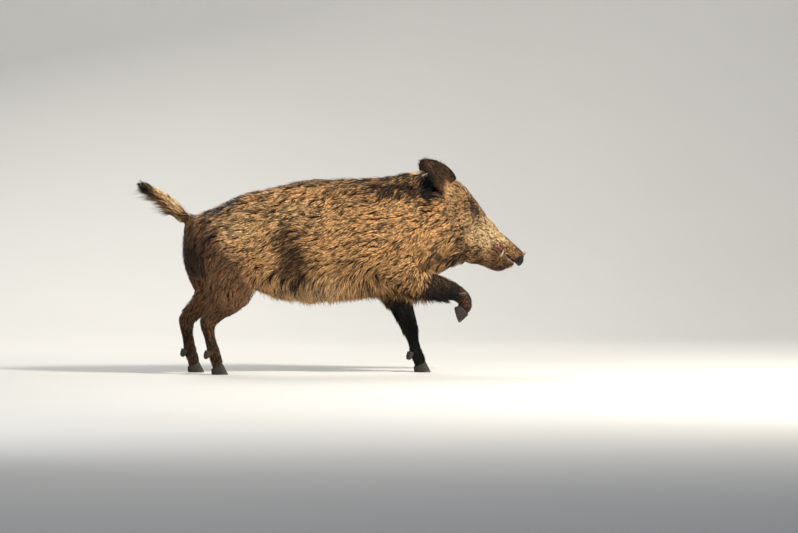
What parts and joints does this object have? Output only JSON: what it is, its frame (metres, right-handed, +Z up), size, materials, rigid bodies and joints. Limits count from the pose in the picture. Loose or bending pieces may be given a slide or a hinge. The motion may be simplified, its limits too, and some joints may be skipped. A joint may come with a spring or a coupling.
{
  "type": "wild boar model",
  "caption": "Still life-size wild boar, caught at a run with one forefoot lifted, for a museum or a scene",
  "frame": {"origin": "on the floor under the middle of the animal's bounding box", "axes": "+X towards the snout, +Y to the animal's left, +Z up"},
  "size_m": [1.4274, 0.338, 0.7828],
  "materials": {
    "coat": "coarse ochre-brown bristle coat",
    "dark_coat": "coarse black-brown bristle coat",
    "horn": "worn dark hoof horn",
    "nose": "damp bare skin",
    "eye": "wet dark brown eye",
    "ivory": "stained ivory",
    "mouth": "wet red lining"
  },
  "bodies": {
    "root": {"dewclaw_forefoot_left_inner": "horn", "dewclaw_forefoot_left_outer": "horn", "dewclaw_forefoot_right_inner": "horn", "dewclaw_forefoot_right_outer": "horn", "dewclaw_hindfoot_left_inner": "horn", "dewclaw_hindfoot_left_outer": "horn", "dewclaw_hindfoot_right_inner": "horn", "dewclaw_hindfoot_right_outer": "horn", "ear_left": "dark_coat", "ear_right": "dark_coat", "eye_left": "eye", "eye_right": "eye", "forearm_left": "dark_coat", "forearm_right": "dark_coat", "forefoot_left": "dark_coat", "forefoot_right": "dark_coat", "gums": "mouth", "head": "coat", "hindfoot_left": "dark_coat", "hindfoot_right": "dark_coat", "hoof_forefoot_left_inner": "horn", "hoof_forefoot_left_outer": "horn", "hoof_forefoot_right_inner": "horn", "hoof_forefoot_right_outer": "horn", "hoof_hindfoot_left_inner": "horn", "hoof_hindfoot_left_outer": "horn", "hoof_hindfoot_right_inner": "horn", "hoof_hindfoot_right_outer": "horn", "lower_jaw": "coat", "neck": "coat", "shank_left": "dark_coat", "shank_right": "dark_coat", "snout_disc": "nose", "tail": "coat", "tail_tuft": "dark_coat", "thigh_left": "coat", "thigh_right": "coat", "trunk": "coat", "tusk_left": "ivory", "tusk_right": "ivory"}
  },
  "joints": []
}
